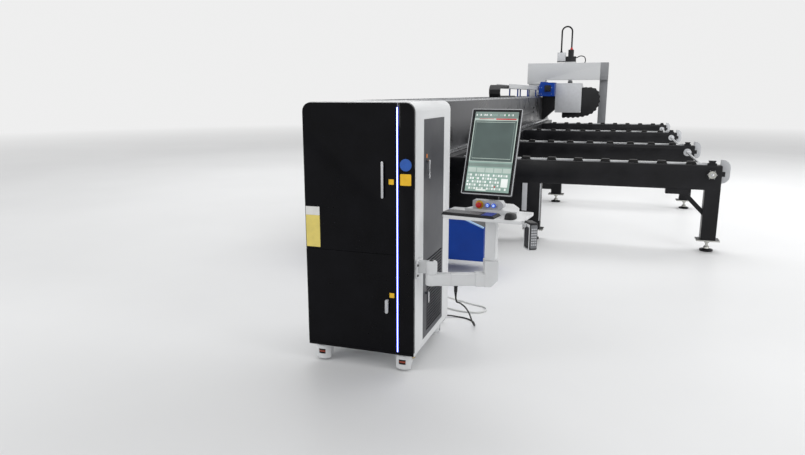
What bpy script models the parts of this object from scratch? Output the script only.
"""Tube laser cutting machine: the control cabinet with its swivelling operator console, and the
long bed behind it with the rear chuck carriage, the portal with the cutting head and four
loading arms.

Metres, +Z up. Every place below is given from the floor point under the cabinet's front right
corner: X runs to the right, Y away from the viewer. The empty "machine" then moves the whole
model so that the origin lies under the middle of its box.
"""

import math

import bmesh
import bpy
from mathutils import Matrix, Vector

# Running and seating gap between neighbours
GAP = 0.0003

# Cabinet body
CABINET_WIDTH = 0.693
CABINET_DEPTH = 0.785
CABINET_BOTTOM = 0.105
CABINET_TOP = 1.605
CABINET_CORNER = 0.055
SHEET = 0.003
FRONT_THICKNESS = 0.020
BASE_STRIP = 0.023
LIP = 0.030

# Black front: fixed strip, light strip and two doors
TRIM_WIDTH = 0.0955
LED_WIDTH = 0.0095
SEAM = 0.0015
DOOR_SPLIT = 0.728
DOOR_SKIN = 0.004
DOOR_RIM = 0.018
HINGE_SIDE_PLAY = 0.001

# Louvred side door and its slots
SIDE_DOOR_FRONT = 0.180
SIDE_DOOR_BACK = 0.630
SIDE_DOOR_BOTTOM = 0.150
SIDE_DOOR_TOP = 1.505
SIDE_DOOR_THICKNESS = 0.018
LOUVRE_COUNT = 14
LOUVRE_PITCH = 0.034
LOUVRE_BOTTOM = 0.190
LOUVRE_SLOT = 0.012
LOUVRE_HOOD = 0.009
LOUVRE_FRONT_MARGIN = 0.078
LOUVRE_BACK_MARGIN = 0.032

# Latches
LONG_PULL = 0.213
LONG_PULL_TOP = 1.275
SHORT_LATCH = 0.085
SHORT_LATCH_TOP = 0.456
PULL_X = -0.187
LATCH_X = -0.165
SIDE_PULL = 0.111
SIDE_PULL_TOP = 1.265
SIDE_LATCH = 0.073
SIDE_LATCH_TOP = 0.448
SIDE_LATCH_Y = 0.240
PULL_WIDTH = 0.018
PULL_THICKNESS = 0.010
PULL_STAND_OFF = 0.012

# Levelling casters
CASTER_INSET_FRONT = 0.070
CASTER_INSET_SIDE = 0.080
CASTER_INSET_BACK = 0.100
CASTER_PLATE = 0.096
CASTER_BODY_RADIUS = 0.050
CASTER_WHEEL_RADIUS = 0.026
CASTER_WHEEL_WIDTH = 0.026
CASTER_PAD_RADIUS = 0.034
CASTER_AXLE_RADIUS = 0.005

# Parts inside the cabinet
SOURCE_WIDTH = 0.480
SOURCE_FRONT = 0.120
SOURCE_BACK_ROOM = 0.105
SOURCE_HEIGHT = 0.300
DRIVE_PLATE_WIDTH = 0.560
DRIVE_PLATE_BOTTOM = 0.520
DRIVE_PLATE_TOP = 1.500
DRIVE_COUNT = 5
DRIVE_DEPTH = 0.180

# Console: bracket, arm, post
PIVOT_X = 0.085
PIVOT_Y = 0.068
ARM_YAW = 20.0
ARM_REACH = 0.3475
ARM_BOTTOM = 0.530
ARM_HEIGHT = 0.088
ARM_WIDTH = 0.084
BRACKET_TOP = 0.695
BRACKET_BOTTOM = 0.590
ELBOW_SIZE = 0.094
ELBOW_CHAMFER = 0.040
ELBOW_TOP = 0.700
CABLE_CLAMP_REACH = 0.145
POST_WIDTH = 0.070
TRAY_Z = 0.952
CONSOLE_YAW = -6.0

# Keyboard tray and what is on it, from the post's axis
TRAY_THICKNESS = 0.018
TRAY_LEFT = 0.285
TRAY_RIGHT = 0.205
TRAY_FRONT = 0.150
TRAY_BACK = 0.160
TRAY_HUMP_WIDTH = 0.250
TRAY_HUMP_BACK = 0.255
TRAY_HUMP_RISE = 0.024
KEYBOARD_LENGTH = 0.320
KEYBOARD_DEPTH = 0.122
KEYBOARD_HEIGHT = 0.014
KEY_COLUMNS = 15
KEY_ROWS = 5
KEY_RISE = 0.003
KEY_GAP = 0.0035
MOUSE_LENGTH = 0.104
MOUSE_WIDTH = 0.062
MOUSE_HEIGHT = 0.034

# Monitor, leaning back about its head
MONITOR_WIDTH = 0.297
MONITOR_HEIGHT = 0.507
MONITOR_DEPTH = 0.042
MONITOR_TILT = 21.4
MONITOR_BOTTOM_Z = 1.092
MONITOR_FRONT_Y = -0.070
BEZEL = 0.014
SCREEN_RECESS = 0.004
SCREEN_THICKNESS = 0.003
TILT_ABOVE_BOTTOM = 0.200
TILT_BEHIND_FRONT = 0.075
MONITOR_X = -0.020
NECK_WIDTH = 0.060
NECK_THICKNESS = 0.026

# Button box under the monitor
BUTTON_BOX_WIDTH = 0.185
BUTTON_BOX_HEIGHT = 0.052
BUTTON_BOX_DEPTH = 0.052
BUTTON_BOX_Y = 0.004
ESTOP_RADIUS = 0.017
BUTTON_RADIUS = 0.0125
BUTTON_STEM = 0.008
BUTTON_LIFT = 0.005

# Pendant and its holder
PENDANT_HEIGHT = 0.150
PENDANT_WIDTH = 0.085
PENDANT_DEPTH = 0.045
PENDANT_X = 0.250
PENDANT_Y = -0.090
PENDANT_TURN = 35.0

# Bed
BED_NEAR = 2.620
BED_FAR = 15.500
BEAM_LEFT = -1.520
BEAM_RIGHT = -0.920
BEAM_BOTTOM = 0.920
BEAM_TOP = 1.560
RAIL_WIDTH = 0.034
RAIL_HEIGHT = 0.028
BASE_LEFT = -1.600
BASE_RIGHT = -0.800
BASE_BOTTOM = 0.110
BASE_PANELS = 10
BASE_RECESS = 0.014
BASE_FOOT_RADIUS = 0.060
BASE_FOOT_INSET = 0.150
RACK_HEIGHT = 0.044
RACK_DEPTH = 0.034
RACK_LENGTHS = 12
COVER_RIGHT = -0.035
COVER_NEAR = 2.200
COVER_BOTTOM = 0.137
COVER_TOP = 0.542
COVER_SLOPE_START = -0.251
COVER_SLOPE_END = 0.456
COVER_SHEET = 0.004
SLOT_NEAR = 11.800
SLOT_LENGTH = 0.600
SLOT_LOW = 1.210
SLOT_HEIGHT = 0.045

# Loading arms
ARM_STATIONS = (3.880, 6.610, 9.900, 13.100)
LOADER_RIGHT = 2.110
LOADER_TOP = 0.920
LOADER_BOTTOM = 0.660
LOADER_THICKNESS = 0.130
LOADER_PANEL_BOTTOM = 0.200
BRACE_LOW = 0.420
BRACE_REACH = 1.700
LEG_WIDTH = 0.150
LEG_LEFT_X = 0.120
LEG_PLATE_WIDTH = 0.230
LEG_BOTTOM = 0.125
FOOT_PAD_RADIUS = 0.068
FOOT_PAD_HEIGHT = 0.040
FOOT_STUD_RADIUS = 0.014
CHAIN_WIDTH = 0.050
CHAIN_RISE = 0.018
CHAIN_PADS = 9
CHAIN_PAD_RISE = 0.016
SHAFT_X = 2.013
SHAFT_Z = 0.825
SHAFT_RADIUS = 0.016
SHAFT_PLAY = 0.0005
SPROCKET_RADIUS = 0.085
SPROCKET_TEETH = 12
SPROCKET_THICKNESS = 0.018
HUB_RADIUS = 0.052
HUB_LENGTH = 0.030
END_PLATE_HEIGHT = 0.250

# Tube axis shared by both chucks
TUBE_X = -0.258
TUBE_Z = 1.545

# Rear chuck carriage
CARRIAGE_NEAR = 13.550
CARRIAGE_LENGTH = 0.600
CARRIAGE_SIDE_PLAY = 0.005
CARRIAGE_SKIRT = 0.985
CHUCK_BOX_NEAR = 13.900
CHUCK_BOX_LENGTH = 0.360
CHUCK_BOX_LEFT = -0.585
CHUCK_BOX_RIGHT = 0.070
CHUCK_BOX_BOTTOM = 1.170
CHUCK_BOX_TOP = 1.920
CHUCK_RADIUS = 0.230
CHUCK_THICKNESS = 0.080
CHUCK_BORE = 0.085
JAW_COUNT = 4
JAW_LENGTH = 0.100
JAW_WIDTH = 0.050
JAW_HEIGHT = 0.045
GUARD_DEPTH = 0.260
GUARD_RIB_PITCH = 0.120
GUARD_RIB_DEPTH = 0.022
GUARD_LINE = (
    (0.110, 1.805),
    (0.320, 1.800),
    (0.450, 1.725),
    (0.512, 1.560),
    (0.497, 1.380),
    (0.415, 1.230),
    (0.300, 1.135),
    (0.110, 1.075),
    (-0.130, 1.052),
    (-0.400, 1.050),
)

# Cable tray on posts above the beam
TRAY_DUCT_LEFT = -1.250
TRAY_DUCT_RIGHT = -1.000
TRAY_DUCT_NEAR = 8.100
TRAY_DUCT_FAR = 14.350
TRAY_DUCT_BOTTOM = 1.750
TRAY_DUCT_TOP = 1.836
TRAY_POSTS = (9.700, 11.500, 13.300)
TRAY_POST_WIDTH = 0.050
CHAIN_BEND_REACH = 0.850
CHAIN_LINK_PITCH = 0.060
CHAIN_LINK_HEIGHT = 0.052
CHAIN_LINK_WIDTH = 0.200
CHAIN_LOWER_RUN = 1.650

# Portal and cutting head
PORTAL_NEAR = 14.400
PORTAL_DEPTH = 0.400
PORTAL_LEFT = -1.390
PORTAL_RIGHT = 0.680
PORTAL_BOTTOM = 2.010
PORTAL_TOP = 2.445
PORTAL_LEFT_DROP = 1.906
PORTAL_LEFT_WIDTH = 0.470
PORTAL_SOLE_WIDTH = 0.380
COLUMN_WIDTH = 0.200
FRONT_CHUCK_HOUSING_LENGTH = 0.280
FRONT_CHUCK_NEAR = 14.620
FRONT_CHUCK_OUTER = 0.330
HEAD_X = -0.320
TUBE_CLEARANCE = 0.160
HEAD_OFFSET = 0.226
HEAD_PLATE_WIDTH = 0.300
HEAD_PLATE_THICKNESS = 0.045
HEAD_RAIL = 0.028
HEAD_RAIL_INSET = 0.200
SPINE_WIDTH = 0.150
SPINE_DEPTH = 0.090
HEAD_MOTOR_TOP = 2.810
HEAD_BOX_TOP = 2.740
FIBRE_RADIUS = 0.022
FIBRE_TOP = 3.437
FIBRE_LEFT = 0.258
FIBRE_RIGHT = 0.008

# Free cords: fittings and the points their middle lines pass
FITTING_LENGTH = 0.020
HOSE_RADIUS = 0.0065
HOSE_EXIT = (-0.045, CABINET_DEPTH, 0.150)
HOSE_END = (-0.620, COVER_NEAR, 0.220)
HOSE_FLOOR = HOSE_RADIUS + GAP
HOSE_GUIDES = (
    (HOSE_EXIT[0], HOSE_EXIT[1] + FITTING_LENGTH + GAP, HOSE_EXIT[2]),
    (HOSE_EXIT[0], HOSE_EXIT[1] + FITTING_LENGTH + 0.009, HOSE_EXIT[2]),
    (-0.0450, 0.8550, 0.1414),
    (-0.0450, 0.8784, 0.1180),
    (-0.0450, 0.8870, 0.0860),
    (-0.0450, 0.8870, 0.0708),
    (-0.0503, 0.8937, 0.0388),
    (-0.0649, 0.9121, 0.0154),
    (-0.0848, 0.9371, HOSE_FLOOR),
    (-0.1280, 0.9800, HOSE_FLOOR),
    (-0.1860, 1.0460, HOSE_FLOOR),
    (-0.2220, 1.1080, HOSE_FLOOR),
    (-0.2268, 1.1754, HOSE_FLOOR),
    (-0.2035, 1.2099, HOSE_FLOOR),
    (-0.1668, 1.2294, HOSE_FLOOR),
    (-0.1252, 1.2294, HOSE_FLOOR),
    (-0.0450, 1.1940, HOSE_FLOOR),
    (0.0300, 1.1800, HOSE_FLOOR),
    (0.0905, 1.1823, HOSE_FLOOR),
    (0.1384, 1.1921, HOSE_FLOOR),
    (0.1739, 1.2276, HOSE_FLOOR),
    (0.1837, 1.2755, HOSE_FLOOR),
    (0.1658, 1.3209, HOSE_FLOOR),
    (0.1246, 1.3498, HOSE_FLOOR),
    (0.0450, 1.3780, HOSE_FLOOR),
    (-0.0570, 1.4270, HOSE_FLOOR),
    (-0.1860, 1.4950, HOSE_FLOOR),
    (-0.3300, 1.5850, HOSE_FLOOR),
    (-0.4550, 1.6900, HOSE_FLOOR),
    (-0.5450, 1.8000, HOSE_FLOOR),
    (-0.5950, 1.9000, HOSE_FLOOR),
    (-0.6150, 1.9700, HOSE_FLOOR),
    (-0.6200, 2.0357, HOSE_FLOOR),
    (-0.6200, 2.0610, 0.0118),
    (-0.6200, 2.0824, 0.0261),
    (-0.6200, 2.0967, 0.0475),
    (-0.6200, 2.1017, 0.0728),
    (-0.6200, 2.1017, 0.1540),
    (-0.6200, 2.1105, 0.1870),
    (-0.6200, 2.1347, 0.2112),
    (HOSE_END[0], HOSE_END[1] - FITTING_LENGTH - 0.0123, HOSE_END[2]),
    (HOSE_END[0], HOSE_END[1] - FITTING_LENGTH + 0.002 - GAP, HOSE_END[2]),
)
CABLE_RADIUS = 0.005
CABLE_ENTRY = (-0.150, CABINET_DEPTH, 0.160)
CABLE_FLOOR = CABLE_RADIUS + GAP
CABLE_GUIDES = (
    (
        PIVOT_X + CABLE_CLAMP_REACH * math.cos(math.radians(ARM_YAW)),
        PIVOT_Y + CABLE_CLAMP_REACH * math.sin(math.radians(ARM_YAW)),
        ARM_BOTTOM - 0.026 - GAP,
    ),
    (
        PIVOT_X + CABLE_CLAMP_REACH * math.cos(math.radians(ARM_YAW)),
        PIVOT_Y + CABLE_CLAMP_REACH * math.sin(math.radians(ARM_YAW)),
        ARM_BOTTOM - 0.032,
    ),
    (0.2213, 0.1225, 0.4645),
    (0.2213, 0.1367, 0.4428),
    (0.2213, 0.1558, 0.4289),
    (0.2220, 0.2400, 0.3940),
    (0.2150, 0.4200, 0.3050),
    (0.2000, 0.6000, 0.2020),
    (0.1870, 0.7400, 0.1050),
    (0.1800, 0.8400, 0.0370),
    (0.1700, 0.9200, CABLE_FLOOR),
    (0.1400, 0.9900, CABLE_FLOOR),
    (0.0850, 1.0350, CABLE_FLOOR),
    (0.0200, 1.0520, CABLE_FLOOR),
    (-0.0550, 1.0410, 0.0125),
    (-0.1130, 1.0040, 0.0190),
    (-0.1410, 0.9600, 0.0205),
    (-0.1500, 0.9230, 0.0215),
    (-0.1500, 0.8965, 0.0286),
    (-0.1500, 0.8771, 0.0480),
    (-0.1500, 0.8700, 0.0745),
    (-0.1500, 0.8700, 0.1070),
    (-0.1500, 0.8629, 0.1335),
    (-0.1500, 0.8435, 0.1529),
    (CABLE_ENTRY[0], CABLE_ENTRY[1] + FITTING_LENGTH + 0.012, CABLE_ENTRY[2]),
    (CABLE_ENTRY[0], CABLE_ENTRY[1] + FITTING_LENGTH + GAP, CABLE_ENTRY[2]),
)

PARTS = None
CUTTERS = None


def clear_scene():
    """Remove what the start-up file brings and make the two collections."""
    global PARTS, CUTTERS
    for item in list(bpy.data.objects):
        bpy.data.objects.remove(item, do_unlink=True)
    PARTS = bpy.data.collections.new("tube_laser_cutter")
    CUTTERS = bpy.data.collections.new("cutters")
    bpy.context.scene.collection.children.link(PARTS)
    bpy.context.scene.collection.children.link(CUTTERS)


def material(name, color, roughness, metallic=0.0):
    """A Principled material, made once per name."""
    found = bpy.data.materials.get(name)
    if found:
        return found
    made = bpy.data.materials.new(name)
    made.use_nodes = True
    shader = made.node_tree.nodes["Principled BSDF"]
    shader.inputs["Base Color"].default_value = (*color, 1.0)
    shader.inputs["Roughness"].default_value = roughness
    shader.inputs["Metallic"].default_value = metallic
    made.diffuse_color = (*color, 1.0)
    return made


def white_paint():
    return material("white_paint", (0.82, 0.83, 0.84), 0.35)


def black_gloss():
    return material("black_gloss", (0.010, 0.010, 0.013), 0.06)


def black_paint():
    return material("black_paint", (0.018, 0.018, 0.020), 0.42)


def anthracite():
    return material("anthracite", (0.055, 0.058, 0.066), 0.38, 0.6)


def silver():
    return material("silver", (0.62, 0.63, 0.65), 0.28, 1.0)


def bed_steel():
    return material("bed_steel", (0.22, 0.22, 0.23), 0.40, 0.7)


def blue_paint():
    return material("blue_paint", (0.015, 0.09, 0.42), 0.35)


def black_plastic():
    return material("black_plastic", (0.020, 0.020, 0.022), 0.50)


def grey_paint():
    return material("grey_paint", (0.55, 0.56, 0.57), 0.40)


def add_empty(name, place, parent, turn=(0.0, 0.0, 0.0)):
    """An empty that carries a group; place is given from the parent."""
    empty = bpy.data.objects.new(name, None)
    empty.empty_display_size = 0.1
    empty.location = place
    empty.rotation_euler = turn
    empty.parent = parent
    PARTS.objects.link(empty)
    return empty


def keep(obj, name, finish, parent):
    """Name a finished solid, give it its material and hang it on its carrier."""
    obj.name = name
    obj.data.name = name
    obj.data.materials.clear()
    obj.data.materials.append(finish)
    obj.parent = parent
    return obj


def as_cutter(obj, parent):
    """Move a helper solid out of the parts."""
    obj.parent = parent
    obj.hide_render = True
    obj.display_type = "WIRE"
    PARTS.objects.unlink(obj)
    CUTTERS.objects.link(obj)
    return obj


def mesh_object(name, mesh_data, origin):
    obj = bpy.data.objects.new(name, mesh_data)
    obj.location = origin
    PARTS.objects.link(obj)
    return obj


def block(name, x, y, z, origin=None, bevel=0.0, segments=2):
    """A box between the given limits on each axis; its origin is the middle unless given."""
    low = Vector((x[0], y[0], z[0]))
    high = Vector((x[1], y[1], z[1]))
    middle = (low + high) / 2
    origin = middle if origin is None else Vector(origin)
    shape = bmesh.new()
    bmesh.ops.create_cube(shape, size=1.0)
    bmesh.ops.scale(shape, vec=high - low, verts=shape.verts)
    bmesh.ops.translate(shape, vec=middle - origin, verts=shape.verts)
    data = bpy.data.meshes.new(name)
    shape.to_mesh(data)
    shape.free()
    obj = mesh_object(name, data, origin)
    if bevel:
        round_edges(obj, bevel, segments)
    return obj


def round_edges(obj, width, segments=2, angle=40.0):
    rounding = obj.modifiers.new("rounded_edges", "BEVEL")
    rounding.width = width
    rounding.segments = segments
    rounding.limit_method = "ANGLE"
    rounding.angle_limit = math.radians(angle)


def rod(name, centre, axis, radius, length, origin=None, sides=24, far_radius=None):
    """A cylinder or cone about the given axis; far_radius is at the axis's far end."""
    shape = bmesh.new()
    bmesh.ops.create_cone(
        shape,
        cap_ends=True,
        segments=sides,
        radius1=radius,
        radius2=radius if far_radius is None else far_radius,
        depth=length,
    )
    turn = Vector((0, 0, 1)).rotation_difference(Vector(axis)).to_matrix().to_4x4()
    bmesh.ops.transform(shape, matrix=turn, verts=shape.verts)
    origin = Vector(centre) if origin is None else Vector(origin)
    bmesh.ops.translate(shape, vec=Vector(centre) - origin, verts=shape.verts)
    data = bpy.data.meshes.new(name)
    shape.to_mesh(data)
    shape.free()
    smooth(data)
    return mesh_object(name, data, origin)


def smooth(data, angle=35.0):
    data.shade_smooth()
    data.set_sharp_from_angle(angle=math.radians(angle))


def turned(name, profile, place, axis=(0, 0, 1), sides=24):
    """A turned piece: profile pairs of radius and height, top to bottom, about the axis."""
    data = bpy.data.meshes.new(name)
    points = [(radius, 0.0, height) for radius, height in profile]
    edges = [(i, i + 1) for i in range(len(points) - 1)]
    data.from_pydata(points, edges, [])
    obj = mesh_object(name, data, place)
    obj.rotation_euler = Vector((0, 0, 1)).rotation_difference(Vector(axis)).to_euler()
    turning = obj.modifiers.new("turned", "SCREW")
    turning.steps = sides
    turning.render_steps = sides
    turning.use_merge_vertices = True
    turning.merge_threshold = 0.00001
    turning.use_smooth_shade = True
    return obj


def to_mesh(obj, name):
    """Turn a curve, or an object with modifiers, into one welded mesh given in the carrier's frame."""
    bpy.context.view_layer.update()
    graph = bpy.context.evaluated_depsgraph_get()
    data = bpy.data.meshes.new_from_object(obj.evaluated_get(graph))
    data.transform(obj.matrix_basis)
    shape = bmesh.new()
    shape.from_mesh(data)
    bmesh.ops.remove_doubles(shape, verts=shape.verts, dist=0.00001)
    bmesh.ops.recalc_face_normals(shape, faces=shape.faces)
    shape.to_mesh(data)
    shape.free()
    made = bpy.data.objects.new(name, data)
    made.parent = obj.parent
    PARTS.objects.link(made)
    bpy.data.objects.remove(obj, do_unlink=True)
    return made


def prism(name, outlines, thickness, place=(0, 0, 0), stand="flat"):
    """A flat plate cut to closed outlines, the first the rim and the others its openings.

    stand "flat" keeps the outline in X and Y and builds upwards from place; "front" reads it as X
    and Z and builds away from the viewer; "side" reads it as Y and Z and builds to the right.
    """
    curve = bpy.data.curves.new(name, "CURVE")
    curve.dimensions = "2D"
    curve.fill_mode = "BOTH"
    curve.extrude = thickness / 2
    for outline in outlines:
        line = curve.splines.new("POLY")
        line.points.add(len(outline) - 1)
        for point, (u, v) in zip(line.points, outline):
            point.co = (u, v, 0.0, 1.0)
        line.use_cyclic_u = True
    obj = bpy.data.objects.new(name, curve)
    PARTS.objects.link(obj)
    obj = to_mesh(obj, name)
    half = thickness / 2
    if stand == "flat":
        turn = Matrix.Translation((0, 0, half))
    elif stand == "front":
        turn = Matrix.Translation((0, half, 0)) @ Matrix.Rotation(math.radians(90), 4, "X")
    else:
        upright = Matrix(((0, 0, 1, 0), (1, 0, 0, 0), (0, 1, 0, 0), (0, 0, 0, 1)))
        turn = Matrix.Translation((half, 0, 0)) @ upright
    obj.data.transform(turn)
    obj.location = place
    return obj


def rebase(obj, origin):
    """Give the object another origin, with its shape left where it is."""
    shift = Vector(origin) - obj.location
    obj.data.transform(Matrix.Translation(-shift))
    obj.location = origin
    return obj


def rounded(corners, steps=5):
    """An outline with round corners, from (u, v, radius) triples in order."""
    points = []
    count = len(corners)
    for i, (u, v, radius) in enumerate(corners):
        here = Vector((u, v))
        if radius <= 0:
            points.append((u, v))
            continue
        before = (Vector(corners[i - 1][:2]) - here).normalized()
        after = (Vector(corners[(i + 1) % count][:2]) - here).normalized()
        opening = before.angle(after)
        reach = radius / math.tan(opening / 2)
        centre = here + (before + after).normalized() * (radius / math.sin(opening / 2))
        start = here + before * reach - centre
        finish = here + after * reach - centre
        turn = start.angle_signed(finish)
        for k in range(steps + 1):
            spoke = start.copy()
            spoke.rotate(Matrix.Rotation(-turn * k / steps, 2))
            points.append(tuple(centre + spoke))
    return points


def box_outline(u0, u1, v0, v1, radius=0.0, steps=4):
    corners = [(u0, v0, radius), (u1, v0, radius), (u1, v1, radius), (u0, v1, radius)]
    return rounded(corners, steps)


def boolean(target, helper, operation):
    change = target.modifiers.new(operation.lower() + "_" + helper.name, "BOOLEAN")
    change.operation = operation
    change.object = helper
    change.solver = "EXACT"


def cut(target, helper, parent=None):
    boolean(target, as_cutter(helper, parent), "DIFFERENCE")
    return target


def fuse(name, pieces):
    """Join overlapping solids, all given in one frame, into one body."""
    first = pieces[0]
    for other in pieces[1:]:
        boolean(first, other, "UNION")
    made = to_mesh(first, name)
    for other in pieces[1:]:
        bpy.data.objects.remove(other, do_unlink=True)
    return made


def carve(name, body, helpers):
    """Cut the helpers out of a body for good."""
    for helper in helpers:
        boolean(body, helper, "DIFFERENCE")
    made = to_mesh(body, name)
    for helper in helpers:
        bpy.data.objects.remove(helper, do_unlink=True)
    return made


def tube(name, points, radius, resolution=2, smooth_line=False):
    """A round tube along a line of points."""
    curve = bpy.data.curves.new(name, "CURVE")
    curve.dimensions = "3D"
    curve.bevel_depth = radius
    curve.bevel_resolution = resolution
    curve.use_fill_caps = True
    line = curve.splines.new("POLY")
    line.points.add(len(points) - 1)
    for point, place in zip(line.points, points):
        point.co = (*place, 1.0)
    line.use_smooth = smooth_line
    obj = bpy.data.objects.new(name, curve)
    PARTS.objects.link(obj)
    return obj


def smooth_route(guides, spacing, floor=None):
    """Points a set distance apart along a Catmull-Rom curve through the guides, kept off the floor."""
    guides = [Vector(g) for g in guides]
    ends = [2 * guides[0] - guides[1]] + guides + [2 * guides[-1] - guides[-2]]
    fine = []
    for i in range(1, len(ends) - 2):
        a, b, c, d = ends[i - 1 : i + 3]
        for k in range(24):
            t = k / 24
            fine.append(
                0.5
                * (
                    2 * b
                    + (c - a) * t
                    + (2 * a - 5 * b + 4 * c - d) * t**2
                    + (3 * b - a - 3 * c + d) * t**3
                )
            )
    fine.append(guides[-1])
    lengths = [0.0]
    for a, b in zip(fine, fine[1:]):
        lengths.append(lengths[-1] + (b - a).length)
    count = max(4, round(lengths[-1] / spacing))
    route = []
    step = 0
    for k in range(count + 1):
        want = lengths[-1] * k / count
        while step < len(lengths) - 2 and lengths[step + 1] < want:
            step += 1
        share = (want - lengths[step]) / (lengths[step + 1] - lengths[step])
        point = fine[step].lerp(fine[step + 1], share)
        if floor is not None:
            point.z = max(point.z, floor)
        route.append(point)
    return route


def cord_route(guides, spacing, floor=None):
    """A smooth route whose first and last steps run straight out of the fittings."""
    return [Vector(guides[0])] + smooth_route(guides[1:-1], spacing, floor) + [Vector(guides[-1])]


def cabinet_shell(cabinet):
    """Folded white housing: round shoulders, front lip around the doors, opening in the side."""
    front = FRONT_THICKNESS + GAP
    shoulder = CABINET_CORNER
    outer = rounded(
        [
            (-CABINET_WIDTH, CABINET_BOTTOM, 0.004),
            (0.0, CABINET_BOTTOM, 0.004),
            (0.0, CABINET_TOP, shoulder),
            (-CABINET_WIDTH, CABINET_TOP, shoulder),
        ],
        6,
    )
    inner = rounded(
        [
            (-CABINET_WIDTH + SHEET, CABINET_BOTTOM + SHEET, 0.0),
            (-SHEET, CABINET_BOTTOM + SHEET, 0.0),
            (-SHEET, CABINET_TOP - SHEET, shoulder - SHEET),
            (-CABINET_WIDTH + SHEET, CABINET_TOP - SHEET, shoulder - SHEET),
        ],
        6,
    )
    depth = CABINET_DEPTH - front
    housing = prism("housing", [outer], depth, (0, front, 0), "front")
    cavity = prism("cavity", [inner], depth - 2 * SHEET, (0, front + SHEET, 0), "front")
    right_stile = TRIM_WIDTH + LED_WIDTH + SEAM + 0.012
    doorway = block(
        "doorway",
        (-CABINET_WIDTH + LIP, -right_stile),
        (front - 0.01, front + 2 * SHEET),
        (CABINET_BOTTOM + LIP + BASE_STRIP, CABINET_TOP - LIP),
    )
    side_way = block(
        "side_way",
        (-2 * SHEET, 0.01),
        (SIDE_DOOR_FRONT, SIDE_DOOR_BACK),
        (SIDE_DOOR_BOTTOM, SIDE_DOOR_TOP),
    )
    shell = carve("cabinet_shell", housing, [cavity, doorway, side_way])
    strip = block(
        "strip",
        (-CABINET_WIDTH + 0.0005, -0.0005),
        (0.006, front + SHEET / 2),
        (CABINET_BOTTOM + 0.0005, CABINET_BOTTOM + BASE_STRIP - SEAM),
    )
    reach = FITTING_LENGTH / 2 - SHEET / 4
    length = FITTING_LENGTH + SHEET / 2
    inlet = rod("inlet", (HOSE_EXIT[0], CABINET_DEPTH + reach, HOSE_EXIT[2]), (0, 1, 0), 0.014, length)
    gland = rod("gland", (CABLE_ENTRY[0], CABINET_DEPTH + reach, CABLE_ENTRY[2]), (0, 1, 0), 0.011, length)
    shell = fuse("cabinet_shell", [shell, strip, inlet, gland])
    return keep(shell, "cabinet_shell", white_paint(), cabinet)


def front_panels(cabinet):
    """Fixed glossy strip, the light strip beside it and the two black doors with their latches."""
    bottom = CABINET_BOTTOM + BASE_STRIP
    top = CABINET_TOP - 0.004
    trim_left = -TRIM_WIDTH - 0.002
    corner = CABINET_CORNER - 0.003
    strip = rounded(
        [(trim_left, bottom, 0), (-0.002, bottom, 0), (-0.002, top, corner), (trim_left, top, 0)]
    )
    panel = prism("front_trim_panel", [strip], FRONT_THICKNESS, (0, 0, 0), "front")
    keep(panel, "front_trim_panel", black_gloss(), cabinet)
    led_right = trim_left - GAP
    led_left = led_right - LED_WIDTH
    led = block(
        "led_strip", (led_left, led_right), (0.003, FRONT_THICKNESS), (bottom, top - 0.025)
    )
    keep(led, "led_strip", material("led_glow", (0.55, 0.68, 1.0), 0.3), cabinet)

    door_left = -CABINET_WIDTH + HINGE_SIDE_PLAY
    door_right = led_left - SEAM
    split_low = DOOR_SPLIT - SEAM / 2
    split_high = DOOR_SPLIT + SEAM / 2
    doors = (
        ("upper_front_door", split_high, top, corner),
        ("lower_front_door", bottom, split_low, 0.0),
    )
    for name, low, high, round_corner in doors:
        rim = rounded(
            [
                (door_left, low, 0),
                (door_right, low, 0),
                (door_right, high, 0),
                (door_left, high, round_corner),
            ]
        )
        door = prism(name, [rim], FRONT_THICKNESS, (0, 0, 0), "front")
        pocket = block(
            "pocket",
            (door_left + DOOR_RIM, door_right - DOOR_RIM),
            (DOOR_SKIN, FRONT_THICKNESS + 0.01),
            (low + DOOR_RIM, high - max(DOOR_RIM, round_corner)),
        )
        door = carve(name, door, [pocket])
        keep(rebase(door, (-CABINET_WIDTH, FRONT_THICKNESS, 0)), name, black_gloss(), cabinet)


def latch(name, length, finish, place, turn, carrier):
    """A slim latch handle that turns on a round boss at its top end and stands off the door."""
    half = PULL_WIDTH / 2
    boss_drop = half
    bar = prism(
        name,
        [rounded([(-half, -length + boss_drop, half * 0.95), (half, -length + boss_drop, half * 0.95),
                  (half, boss_drop, half * 0.95), (-half, boss_drop, half * 0.95)], 4)],
        PULL_THICKNESS,
        (0, -PULL_STAND_OFF - PULL_THICKNESS, 0),
        "front",
    )
    boss = rod("boss", (0, -PULL_STAND_OFF / 2 - GAP, 0), (0, 1, 0), half * 0.9, PULL_STAND_OFF, sides=16)
    handle = fuse(name, [bar, boss])
    handle.data.transform(Matrix.Rotation(turn, 4, "Z"))
    rebase(handle, (0, 0, 0))
    handle.location = place
    return keep(handle, name, finish, carrier)


def front_latches(cabinet):
    half = PULL_WIDTH / 2
    latch("upper_door_pull", LONG_PULL, silver(), (PULL_X, 0, LONG_PULL_TOP - half), 0, cabinet)
    latch(
        "lower_door_latch", SHORT_LATCH, grey_paint(), (LATCH_X, 0, SHORT_LATCH_TOP - half), 0, cabinet
    )
    quarter = math.pi / 2
    latch(
        "side_door_pull", SIDE_PULL, silver(), (0, SIDE_LATCH_Y, SIDE_PULL_TOP - half), quarter, cabinet
    )
    latch(
        "side_door_latch", SIDE_LATCH, silver(), (0, SIDE_LATCH_Y, SIDE_LATCH_TOP - half), quarter, cabinet
    )


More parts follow.
